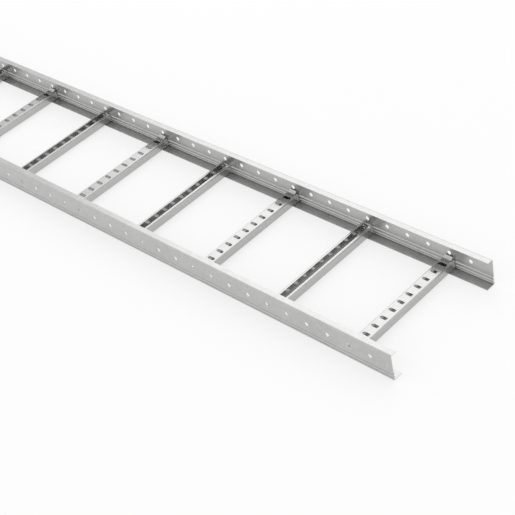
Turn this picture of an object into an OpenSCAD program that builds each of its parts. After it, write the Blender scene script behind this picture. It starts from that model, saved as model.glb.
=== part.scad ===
// Cable ladder section: two roll-formed side rails joined by lipped channel rungs.
// X runs along the ladder, Y across it and Z up; the origin is under its middle, at floor level.

/* [Ladder] */
// Length of the section
ladder_length = 3000; // [1000:100:6000]
// Width over the feet of the two side rails
ladder_width = 300; // [200:25:600]
// Distance from one rung to the next
rung_spacing = 200; // [150:25:300]

/* [Side rail] */
// Height of a side rail
rail_height = 60; // [56:1:110]
// Thickness of the side rail's sheet
rail_sheet = 1.5; // [1:0.1:2]
// Outer radius of the bend under the top flange
top_bend = 3; // [2.5:0.1:3.5]
// Outer radius of the bend at the foot
foot_bend = 4; // [3:0.1:4.5]
// Width of the top flange, from the web's outer face
top_flange = 14; // [8:0.5:22]
// Width of the bottom flange, from the foot's outer face
bottom_flange = 23; // [20:0.5:34]
// How far the foot stands out from the web
foot_step = 1; // [0.6:0.1:1.4]
// Straight part of the foot between its bend and its shoulder
foot_straight = 0.3; // [0.2:0.1:1.5]
// Radius of the grooves rolled into the web
groove_radius = 2; // [1.5:0.1:2.4]
// Distance from the lower groove to the upper one
groove_spacing = 8.2; // [7.6:0.1:10]

/* [Side rail holes] */
// Diameter of the holes along the web
rail_hole_diameter = 9; // [6:0.5:11]
// Distance from one web hole to the next
rail_hole_pitch = 50; // [25:5:100]
// Height of the web holes
rail_hole_height = 33; // [32:1:44]

/* [Rung] */
// Width of a rung along the ladder
rung_width = 27; // [25:0.5:40]
// Height of a rung from its slotted face to its lips
rung_height = 19.5; // [16:0.5:20]
// Thickness of the rung's sheet
rung_sheet = 1.5; // [1:0.1:2]
// Outer radius of the rung's bends
rung_bend = 2.5; // [2.2:0.1:3]
// Width of a lip, from the rung's side
rung_lip = 5.5; // [4:0.5:8]
// Gap between a rung's end and the ridges inside the rail
rung_end_clearance = 0.1; // [0.1:0.1:1]

/* [Rung slots] */
// Length of a slot, along the ladder
slot_length = 17; // [12:0.5:20]
// Width of a slot
slot_width = 7.5; // [6:0.5:11]
// Distance from one slot to the next
slot_pitch = 25; // [20:1:40]
// Least sheet left between the last slot and the end slot
slot_end_land = 6; // [4:1:12]
// Length of the end slot, along the ladder
end_slot_length = 20; // [16:0.5:20]
// Width of the end slot
end_slot_width = 8.5; // [7:0.5:10]
// Distance from the end slot's middle to the rung's end
end_slot_setback = 20.4; // [19:0.1:24]

/* [Rung tongue] */
// Width of the tongue at each end of an upward slotted face
tongue_width = 19; // [14:0.5:20]
// Width of the cut that frees each side of the tongue
tongue_cut = 0.5; // [0.3:0.1:0.8]
// Height of the tongue's tip above the slotted face
tongue_rise = 6; // [3:0.5:7]
// Flat left between the end slot and the tongue's curve
tongue_land = 2.75; // [1:0.25:4]

/* [Hidden] */
arc_facets = 32;
hole_facets = 24;
wide_arc_facets = 96;
cut = 1;

web_outer = ladder_width / 2 - foot_step;
web_inner = web_outer - rail_sheet;
ridge_inner = web_outer - groove_radius - rail_sheet;
shoulder_height = foot_bend + foot_straight;
foot_height = shoulder_height + foot_step;
lower_groove_height = foot_height + groove_radius;
upper_groove_height = lower_groove_height + groove_spacing;
ridge_radius = groove_radius + rail_sheet;

rung_count = floor(ladder_length / rung_spacing);
first_rung = -(rung_count - 1) * rung_spacing / 2;
rung_end = ridge_inner - rung_end_clearance;
rung_middle = rail_sheet + rung_height / 2;

hole_steps = floor((ladder_length / 2 - rail_hole_diameter) / rail_hole_pitch);
end_slot_place = rung_end - end_slot_setback;
slot_room = end_slot_place - end_slot_width / 2 - slot_end_land - slot_width / 2;
slot_steps = floor(slot_room / slot_pitch);

tongue_root = end_slot_place + end_slot_width / 2 + tongue_land;
tongue_run = rung_end - tongue_root;
tongue_radius = (tongue_run * tongue_run + tongue_rise * tongue_rise) / (2 * tongue_rise);

function two_digits(n) = str(n < 10 ? "0" : "", n);
function rung_name(n) = str("rung_", two_digits(n));
function rung_place(n) = first_rung + (n - 1) * rung_spacing;
function faces_up(n) = n % 2 == 1;

// Quarter ring of sheet between two radii, in the quadrant that side and level point to
module bend(outer, sheet, side, level) {
    intersection() {
        difference() {
            circle(r = outer, $fn = arc_facets);
            circle(r = outer - sheet, $fn = arc_facets);
        }
        scale([side, level]) square(outer + cut);
    }
}

// Half disc on the inner side of the web's outer face
module ridge() {
    intersection() {
        circle(r = ridge_radius, $fn = arc_facets);
        translate([0, -ridge_radius - cut]) square(2 * (ridge_radius + cut));
    }
}

// Web with two rolled grooves: hollow outside and a ridge inside
module grooved_web() {
    difference() {
        union() {
            translate([foot_step, foot_height]) square([rail_sheet, rail_height - top_bend - foot_height]);
            translate([foot_step, lower_groove_height]) ridge();
            translate([foot_step, upper_groove_height]) ridge();
        }
        translate([foot_step, lower_groove_height]) circle(r = groove_radius, $fn = arc_facets);
        translate([foot_step, upper_groove_height]) circle(r = groove_radius, $fn = arc_facets);
    }
}

// Foot below the lower groove, rounded over at its shoulder
module foot() {
    translate([0, foot_bend]) square([rail_sheet, foot_straight]);
    translate([foot_step, shoulder_height]) intersection() {
        circle(r = foot_step, $fn = arc_facets);
        translate([-foot_step - cut, 0]) square(foot_step + cut);
    }
}

// Section of the rail: distance in from the foot's outer face, and height
module rail_section() {
    grooved_web();
    foot();
    translate([foot_bend, foot_bend]) bend(foot_bend, rail_sheet, -1, -1);
    translate([foot_bend, 0]) square([bottom_flange - foot_bend, rail_sheet]);
    translate([foot_step + top_bend, rail_height - top_bend]) bend(top_bend, rail_sheet, -1, 1);
    translate([foot_step + top_bend, rail_height - rail_sheet])
        square([top_flange - top_bend, rail_sheet]);
}

// Side rail on the negative Y side, its flanges turned in under and over the rungs
module side_rail() {
    color("silver") difference() {
        translate([0, -ladder_width / 2, 0]) rotate([90, 0, 90])
            linear_extrude(ladder_length, center = true) rail_section();
        for (step = [-hole_steps:hole_steps])
            translate([step * rail_hole_pitch, -web_inner + cut, rail_hole_height]) rotate([90, 0, 0])
                cylinder(h = rail_sheet + 2 * cut, d = rail_hole_diameter, $fn = hole_facets);
    }
}

module side_rail_left() {
    side_rail();
}

module side_rail_right() {
    mirror([0, 1, 0]) side_rail();
}

// Rectangle with round corners, centred on its middle
module rounded_rectangle(width, height, radius) {
    square([width - 2 * radius, height], center = true);
    square([width, height - 2 * radius], center = true);
    for (x = [-1, 1], y = [-1, 1])
        translate([x * (width / 2 - radius), y * (height / 2 - radius)]) circle(r = radius, $fn = arc_facets);
}

// Section of the rung: a lipped channel, closed at the top and open at the bottom
module rung_section() {
    difference() {
        rounded_rectangle(rung_width, rung_height, rung_bend);
        rounded_rectangle(rung_width - 2 * rung_sheet, rung_height - 2 * rung_sheet, rung_bend - rung_sheet);
        translate([0, -rung_height / 2])
            square([rung_width - 2 * rung_lip, 2 * rung_sheet + cut], center = true);
    }
}

// Slot with round ends, its length along the ladder
module slot(length, width) {
    translate([0, 0, rung_height / 2 - rung_sheet - cut]) linear_extrude(rung_sheet + 2 * cut) {
        square([length - width, width], center = true);
        for (side = [-1, 1])
            translate([side * (length - width) / 2, 0]) circle(d = width, $fn = hole_facets);
    }
}

module rung_slots() {
    for (step = [-slot_steps:slot_steps])
        translate([0, step * slot_pitch, 0]) slot(slot_length, slot_width);
    for (side = [-1, 1])
        translate([0, side * end_slot_place, 0]) slot(end_slot_length, end_slot_width);
}

// Piece of the slotted face that is cut away around a tongue
module tongue_window() {
    window_width = tongue_width + 2 * tongue_cut;
    translate([-window_width / 2, tongue_root, rung_height / 2 - rung_sheet - cut])
        cube([window_width, tongue_run + cut, rung_sheet + 2 * cut]);
}

// Side view of a tongue: distance out from its root, and height above the slotted face
module tongue_profile() {
    translate([-cut, -rung_sheet]) square([cut, rung_sheet]);
    intersection() {
        translate([0, tongue_radius]) difference() {
            circle(r = tongue_radius + rung_sheet, $fn = wide_arc_facets);
            circle(r = tongue_radius, $fn = wide_arc_facets);
        }
        translate([0, -rung_sheet]) square([tongue_run, tongue_rise + rung_sheet]);
    }
}

// Tongue that curves up from the slotted face to the end of the rung
module tongue() {
    translate([0, tongue_root, rung_height / 2]) rotate([90, 0, 90])
        linear_extrude(tongue_width, center = true) tongue_profile();
}

// Rung about its own middle, with the slotted face up
module rung_blank() {
    difference() {
        rotate([90, 0, 0]) linear_extrude(2 * rung_end, center = true) rung_section();
        rung_slots();
    }
}

module rung_with_tongues() {
    difference() {
        rung_blank();
        for (side = [0, 1])
            mirror([0, side, 0]) tongue_window();
    }
    for (side = [0, 1])
        mirror([0, side, 0]) tongue();
}

// Rungs lie with the slotted face up and the open side up in turn
module rung(n) {
    color("gainsboro") translate([rung_place(n), 0, rung_middle]) {
        if (faces_up(n)) rung_with_tongues();
        else rotate([180, 0, 0]) rung_blank();
    }
}

side_rail_left();
side_rail_right();
for (n = [1:rung_count])
    rung(n);
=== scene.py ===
"""Looks for a galvanised cable ladder section: two side rails and their slotted rungs."""

import logging
import math
from dataclasses import dataclass
from enum import Enum

import bpy
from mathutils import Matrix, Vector

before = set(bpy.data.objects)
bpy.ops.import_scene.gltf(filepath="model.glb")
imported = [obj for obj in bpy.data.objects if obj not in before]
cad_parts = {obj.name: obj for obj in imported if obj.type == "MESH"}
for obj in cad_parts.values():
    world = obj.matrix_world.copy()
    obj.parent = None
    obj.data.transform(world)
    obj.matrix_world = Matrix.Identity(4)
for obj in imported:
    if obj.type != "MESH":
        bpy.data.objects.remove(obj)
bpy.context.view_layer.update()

log = logging.getLogger("cable_ladder")

WHITE = (1.0, 1.0, 1.0, 1.0)
# Lighter zinc painted on sharp edges: partly rubbed coating, partly a painted highlight along the
# edges.
RUBBED_AND_HIGHLIT_ZINC = (0.66, 0.66, 0.655)
SPANGLE_CONTRAST = 0.35
CLOUD_CONTRAST = 0.75
BUMP_STRENGTH = 0.25
DEFAULT_CRYSTALS_PER_METRE = 140.0
WOBBLE_SCALE = 60.0
WOBBLE_DETAIL = 2.0
WOBBLE_REACH = (0.004, 0.004, 0.004)
LINE_SCALE = 900.0
LINE_DETAIL = 3.0
CLOUD_SCALE = 14.0
CLOUD_DETAIL = 5.0
CLOUD_ROUGHNESS = 0.6
EDGE_REACH = 0.0006
EDGE_SAMPLES = 4
EDGE_STARTS_AT = 0.995
EDGE_FULL_AT = 0.80
LAMP_AIM = Vector((0.8, 0.0, 0.0))

# Unnamed sockets of the colour mix node, by number
MIX_LOW = 6
MIX_HIGH = 7
MIX_RESULT = 2


class RollDirection(Enum):
    """Way that the sheet ran through the rolls, as a stretch of the streak pattern."""

    ALONG_LADDER = (0.035, 1.0, 1.0)
    ACROSS_LADDER = (1.0, 0.035, 1.0)


@dataclass(frozen=True)
class ZincFinish:
    """Zinc coating of one kind of rolled steel part."""

    name: str
    fresh_zinc: tuple[float, float, float]
    dull_zinc: tuple[float, float, float]
    smooth: float
    rough: float
    metallic: float
    spangle_size: float
    roll: RollDirection
    relief: float


RAIL_ZINC = ZincFinish(
    name="rail_zinc",
    fresh_zinc=(0.560, 0.562, 0.556),
    dull_zinc=(0.460, 0.462, 0.456),
    smooth=0.22,
    rough=0.36,
    metallic=0.92,
    spangle_size=0.007,
    roll=RollDirection.ALONG_LADDER,
    relief=0.00003,
)

RUNG_ZINC = ZincFinish(
    name="rung_zinc",
    fresh_zinc=(0.530, 0.532, 0.526),
    dull_zinc=(0.450, 0.452, 0.446),
    smooth=0.18,
    rough=0.30,
    metallic=0.94,
    spangle_size=0.006,
    roll=RollDirection.ACROSS_LADDER,
    relief=0.00002,
)


class ShaderGroup:
    """A shared surface effect, kept as a shader node group."""

    def __init__(self, name: str) -> None:
        """Starts an empty group.

        Args:
            name: Name of the node group.
        """
        self.tree = bpy.data.node_groups.new(name, "ShaderNodeTree")
        self.entry = self.tree.nodes.new("NodeGroupInput")
        self.exit = self.tree.nodes.new("NodeGroupOutput")

    def value_in(self, name: str, default: float) -> None:
        """Adds a number input.

        Args:
            name: Name of the socket.
            default: Value that it starts with.
        """
        socket = self.tree.interface.new_socket(name, in_out="INPUT", socket_type="NodeSocketFloat")
        socket.default_value = default

    def vector_in(self, name: str) -> None:
        """Adds a vector input.

        Args:
            name: Name of the socket.
        """
        self.tree.interface.new_socket(name, in_out="INPUT", socket_type="NodeSocketVector")

    def value_out(self, name: str) -> None:
        """Adds a number output.

        Args:
            name: Name of the socket.
        """
        self.tree.interface.new_socket(name, in_out="OUTPUT", socket_type="NodeSocketFloat")

    def node(self, kind: str, **settings: object) -> bpy.types.Node:
        """Adds a node.

        Args:
            kind: Type of the node.
            **settings: Properties to set on it.

        Returns:
            The new node.
        """
        made = self.tree.nodes.new(kind)
        for key, value in settings.items():
            setattr(made, key, value)
        return made

    def link(self, source: bpy.types.NodeSocket, target: bpy.types.NodeSocket) -> None:
        """Joins two sockets.

        Args:
            source: Output that the value comes from.
            target: Input that it goes to.
        """
        self.tree.links.new(source, target)


def make_spangle_group() -> bpy.types.NodeTree:
    """Builds the crystal pattern that zinc freezes in.

    Returns:
        A group with one tone for each crystal, from 0 to 1.
    """
    group = ShaderGroup("zinc_spangle")
    group.vector_in("Place")
    group.value_in("Crystals per metre", DEFAULT_CRYSTALS_PER_METRE)
    group.value_out("Tone")
    wobble = group.node("ShaderNodeTexNoise")
    wobble.inputs["Scale"].default_value = WOBBLE_SCALE
    wobble.inputs["Detail"].default_value = WOBBLE_DETAIL
    shift = group.node("ShaderNodeVectorMath", operation="MULTIPLY_ADD")
    shift.inputs[1].default_value = WOBBLE_REACH
    crystals = group.node("ShaderNodeTexVoronoi", feature="F1")
    crystals.inputs["Randomness"].default_value = 1.0
    tone = group.node("ShaderNodeSeparateColor")
    group.link(group.entry.outputs["Place"], wobble.inputs["Vector"])
    group.link(wobble.outputs["Color"], shift.inputs[0])
    group.link(group.entry.outputs["Place"], shift.inputs[2])
    group.link(shift.outputs["Vector"], crystals.inputs["Vector"])
    group.link(group.entry.outputs["Crystals per metre"], crystals.inputs["Scale"])
    group.link(crystals.outputs["Color"], tone.inputs["Color"])
    group.link(tone.outputs["Red"], group.exit.inputs["Tone"])
    return group.tree


def make_streak_group() -> bpy.types.NodeTree:
    """Builds the faint drawn lines and cloudy dulling that rolling leaves.

    Returns:
        A group with a fine line mask and a broad cloud mask.
    """
    group = ShaderGroup("rolling_streaks")
    group.vector_in("Place")
    group.vector_in("Stretch")
    group.value_out("Lines")
    group.value_out("Clouds")
    stretched = group.node("ShaderNodeVectorMath", operation="MULTIPLY")
    lines = group.node("ShaderNodeTexNoise")
    lines.inputs["Scale"].default_value = LINE_SCALE
    lines.inputs["Detail"].default_value = LINE_DETAIL
    clouds = group.node("ShaderNodeTexNoise")
    clouds.inputs["Scale"].default_value = CLOUD_SCALE
    clouds.inputs["Detail"].default_value = CLOUD_DETAIL
    clouds.inputs["Roughness"].default_value = CLOUD_ROUGHNESS
    group.link(group.entry.outputs["Place"], stretched.inputs[0])
    group.link(group.entry.outputs["Stretch"], stretched.inputs[1])
    group.link(stretched.outputs["Vector"], lines.inputs["Vector"])
    group.link(group.entry.outputs["Place"], clouds.inputs["Vector"])
    group.link(lines.outputs["Fac"], group.exit.inputs["Lines"])
    group.link(clouds.outputs["Fac"], group.exit.inputs["Clouds"])
    return group.tree


def make_edge_group() -> bpy.types.NodeTree:
    """Builds the mask of the sheet's sharp edges, where a lighter zinc is painted: partly rubbed
    coating, partly a painted edge highlight.

    Returns:
        A group that is 1 on a sharp edge of the sheet and 0 away from it.
    """
    group = ShaderGroup("rubbed_and_highlit_edge")
    group.value_in("Reach", EDGE_REACH)
    group.value_out("Edge")
    rounded = group.node("ShaderNodeBevel", samples=EDGE_SAMPLES)
    flat = group.node("ShaderNodeNewGeometry")
    match = group.node("ShaderNodeVectorMath", operation="DOT_PRODUCT")
    mask = group.node("ShaderNodeMapRange", clamp=True)
    mask.inputs["From Min"].default_value = EDGE_STARTS_AT
    mask.inputs["From Max"].default_value = EDGE_FULL_AT
    group.link(group.entry.outputs["Reach"], rounded.inputs["Radius"])
    group.link(rounded.outputs["Normal"], match.inputs[0])
    group.link(flat.outputs["Normal"], match.inputs[1])
    group.link(match.outputs["Value"], mask.inputs["Value"])
    group.link(mask.outputs["Result"], group.exit.inputs["Edge"])
    return group.tree


class ZincMaterial:
    """Builds the material of one zinc finish."""

    def __init__(self, finish: ZincFinish, groups: dict[str, bpy.types.NodeTree]) -> None:
        """Keeps the finish and the shared effects.

        Args:
            finish: Values of the coating.
            groups: Shared shader groups by name.
        """
        self.finish = finish
        self.groups = groups
        self.material = bpy.data.materials.new(finish.name)
        self.material.use_nodes = True
        self.tree = self.material.node_tree
        self.tree.nodes.clear()

    def effect(self, name: str) -> bpy.types.Node:
        """Places a shared group in the material.

        Args:
            name: Key of the group.

        Returns:
            The group's node.
        """
        made = self.tree.nodes.new("ShaderNodeGroup")
        made.node_tree = self.groups[name]
        return made

    def mix(self, low: tuple[float, ...], high: tuple[float, ...]) -> bpy.types.Node:
        """Adds a colour mix.

        Args:
            low: Colour at 0.
            high: Colour at 1.

        Returns:
            The mix node.
        """
        made = self.tree.nodes.new("ShaderNodeMix")
        made.data_type = "RGBA"
        made.inputs[MIX_LOW].default_value = (*low, 1.0)
        made.inputs[MIX_HIGH].default_value = (*high, 1.0)
        return made

    def build(self) -> bpy.types.Material:
        """Joins the effects to the shader.

        Returns:
            The finished material.
        """
        links, nodes, finish = self.tree.links, self.tree.nodes, self.finish
        place = nodes.new("ShaderNodeTexCoord").outputs["Object"]
        spangle, streaks, edge = self.effect("spangle"), self.effect("streaks"), self.effect("edge")
        spangle.inputs["Crystals per metre"].default_value = 1.0 / finish.spangle_size
        streaks.inputs["Stretch"].default_value = finish.roll.value
        links.new(place, spangle.inputs["Place"])
        links.new(place, streaks.inputs["Place"])

        tone = nodes.new("ShaderNodeMath")
        tone.operation = "MULTIPLY_ADD"
        tone.inputs[1].default_value = SPANGLE_CONTRAST
        weather = nodes.new("ShaderNodeMath")
        weather.operation = "MULTIPLY"
        weather.inputs[1].default_value = CLOUD_CONTRAST
        links.new(spangle.outputs["Tone"], tone.inputs[0])
        links.new(streaks.outputs["Clouds"], weather.inputs[0])
        links.new(weather.outputs["Value"], tone.inputs[2])

        coat = self.mix(finish.dull_zinc, finish.fresh_zinc)
        links.new(tone.outputs["Value"], coat.inputs["Factor"])
        # Sharp edges get a lighter zinc colour: partly rubbed coating, partly a painted highlight
        # along the edges.
        rubbed_and_highlit = self.mix(finish.fresh_zinc, RUBBED_AND_HIGHLIT_ZINC)
        links.new(edge.outputs["Edge"], rubbed_and_highlit.inputs["Factor"])
        links.new(coat.outputs[MIX_RESULT], rubbed_and_highlit.inputs[MIX_LOW])

        dull = nodes.new("ShaderNodeMapRange")
        dull.inputs["To Min"].default_value = finish.smooth
        dull.inputs["To Max"].default_value = finish.rough
        links.new(streaks.outputs["Clouds"], dull.inputs["Value"])

        bump = nodes.new("ShaderNodeBump")
        bump.inputs["Strength"].default_value = BUMP_STRENGTH
        bump.inputs["Distance"].default_value = finish.relief
        links.new(streaks.outputs["Lines"], bump.inputs["Height"])

        shader = nodes.new("ShaderNodeBsdfPrincipled")
        shader.inputs["Metallic"].default_value = finish.metallic
        links.new(rubbed_and_highlit.outputs[MIX_RESULT], shader.inputs["Base Color"])
        links.new(dull.outputs["Result"], shader.inputs["Roughness"])
        links.new(bump.outputs["Normal"], shader.inputs["Normal"])
        surface = nodes.new("ShaderNodeOutputMaterial")
        links.new(shader.outputs["BSDF"], surface.inputs["Surface"])
        return self.material


@dataclass
class LadderSection:
    """The ladder's own pieces, as they come from the frame."""

    rail_prefix: str = "side_rail"

    def dress(self, rail: bpy.types.Material, rung: bpy.types.Material) -> None:
        """Gives every piece its zinc.

        Args:
            rail: Material of the side rails.
            rung: Material of the rungs.
        """
        for name, piece in sorted(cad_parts.items()):
            finish = rail if name.startswith(self.rail_prefix) else rung
            for slot in piece.material_slots:
                slot.material = finish
            log.info("%s: %s", name, finish.name)


@dataclass
class Studio:
    """Pale floor, white surroundings and soft light."""

    floor_side: float = 60.0
    floor_shade: float = 0.90
    floor_glow: float = 0.65
    floor_roughness: float = 0.9
    floor_gloss: float = 0.1
    ambient: float = 0.95
    softbox_side: float = 3.2
    softbox_power: float = 27.5
    softbox_place: tuple[float, float, float] = (-0.95, 2.45, 3.3)
    fill_side: float = 3.0
    fill_power: float = 16.0
    fill_place: tuple[float, float, float] = (3.5, -3.5, 3.5)

    def build(self) -> None:
        """Builds the floor, the surroundings and the lamps."""
        self.lay_floor()
        self.set_world()
        self.add_lamp("softbox", self.softbox_place, self.softbox_side, self.softbox_power)
        self.add_lamp("fill", self.fill_place, self.fill_side, self.fill_power)

    def lay_floor(self) -> None:
        """Lays a pale floor at the ladder's feet."""
        bpy.ops.mesh.primitive_plane_add(size=self.floor_side, location=(0.0, 0.0, 0.0))
        floor = bpy.context.object
        floor.name = "studio_floor"
        paint = bpy.data.materials.new("floor_paint")
        paint.use_nodes = True
        shader = paint.node_tree.nodes["Principled BSDF"]
        shader.inputs["Base Color"].default_value = (self.floor_shade,) * 3 + (1.0,)
        shader.inputs["Roughness"].default_value = self.floor_roughness
        shader.inputs["Specular IOR Level"].default_value = self.floor_gloss
        nodes, links = paint.node_tree.nodes, paint.node_tree.links
        white = nodes.new("ShaderNodeEmission")
        white.inputs["Color"].default_value = WHITE
        white.inputs["Strength"].default_value = 1.0
        share = nodes.new("ShaderNodeMath")
        share.operation = "MULTIPLY"
        share.inputs[1].default_value = self.floor_glow
        blend = nodes.new("ShaderNodeMixShader")
        links.new(self.seen_directly(paint.node_tree), share.inputs[0])
        links.new(share.outputs["Value"], blend.inputs["Fac"])
        links.new(shader.outputs["BSDF"], blend.inputs[1])
        links.new(white.outputs["Emission"], blend.inputs[2])
        links.new(blend.outputs["Shader"], nodes["Material Output"].inputs["Surface"])
        floor.data.materials.append(paint)

    def seen_directly(self, tree: bpy.types.NodeTree) -> bpy.types.NodeSocket:
        """Adds a switch for rays that show a surface to the eye, straight or in metal or glass.

        Args:
            tree: Node tree of a material or of the world.

        Returns:
            A socket that is 1 for such rays and 0 for the rays that only light the scene.
        """
        path = tree.nodes.new("ShaderNodeLightPath")
        straight = tree.nodes.new("ShaderNodeMath")
        straight.operation = "MAXIMUM"
        seen = tree.nodes.new("ShaderNodeMath")
        seen.operation = "MAXIMUM"
        tree.links.new(path.outputs["Is Camera Ray"], straight.inputs[0])
        tree.links.new(path.outputs["Is Glossy Ray"], straight.inputs[1])
        tree.links.new(straight.outputs["Value"], seen.inputs[0])
        tree.links.new(path.outputs["Is Transmission Ray"], seen.inputs[1])
        return seen.outputs["Value"]

    def set_world(self) -> None:
        """Makes the surroundings white to the eye and softer as light."""
        world = bpy.data.worlds.new("white_surroundings")
        world.use_nodes = True
        bpy.context.scene.world = world
        nodes, links = world.node_tree.nodes, world.node_tree.links
        nodes.clear()
        strength = nodes.new("ShaderNodeMapRange")
        strength.inputs["To Min"].default_value = self.ambient
        strength.inputs["To Max"].default_value = 1.0
        sky = nodes.new("ShaderNodeBackground")
        surface = nodes.new("ShaderNodeOutputWorld")
        links.new(self.seen_directly(world.node_tree), strength.inputs["Value"])
        links.new(strength.outputs["Result"], sky.inputs["Strength"])
        links.new(sky.outputs["Background"], surface.inputs["Surface"])
        sky.inputs["Color"].default_value = WHITE

    def add_lamp(
        self, name: str, place: tuple[float, float, float], side: float, power: float
    ) -> None:
        """Hangs a square soft lamp that faces the ladder.

        Args:
            name: Name of the lamp.
            place: Where it hangs, in metres.
            side: Width of its face.
            power: Its power in watts.
        """
        data = bpy.data.lights.new(name, "AREA")
        data.shape = "SQUARE"
        data.size = side
        data.energy = power
        lamp = bpy.data.objects.new(name, data)
        bpy.context.collection.objects.link(lamp)
        lamp.location = place
        aim = LAMP_AIM - Vector(place)
        lamp.rotation_euler = aim.to_track_quat("-Z", "Y").to_euler()


@dataclass
class Camera:
    """Long lens that looks down along the ladder from its free end."""

    place: tuple[float, float, float] = (2.63845, -1.29596, 1.6369)
    turn_degrees: tuple[float, float, float] = (50.3019, 9.9119, 43.2111)
    lens: float = 91.429
    sensor: float = 36.0
    reach: float = 200.0

    def build(self) -> None:
        """Places the camera and makes it the scene's own."""
        data = bpy.data.cameras.new("camera")
        data.lens = self.lens
        data.sensor_width = self.sensor
        data.sensor_fit = "HORIZONTAL"
        data.clip_end = self.reach
        eye = bpy.data.objects.new("camera", data)
        bpy.context.collection.objects.link(eye)
        eye.location = self.place
        eye.rotation_euler = tuple(math.radians(angle) for angle in self.turn_degrees)
        bpy.context.scene.camera = eye


def main() -> None:
    """Builds the finishes, the studio and the camera around the ladder."""
    logging.basicConfig(level=logging.INFO)
    bpy.ops.object.select_all(action="DESELECT")
    bpy.context.scene.view_settings.view_transform = "Standard"
    groups = {
        "spangle": make_spangle_group(),
        "streaks": make_streak_group(),
        "edge": make_edge_group(),
    }
    rail = ZincMaterial(RAIL_ZINC, groups).build()
    rung = ZincMaterial(RUNG_ZINC, groups).build()
    LadderSection().dress(rail, rung)
    Studio().build()
    Camera().build()


if __name__ == "__main__":
    main()
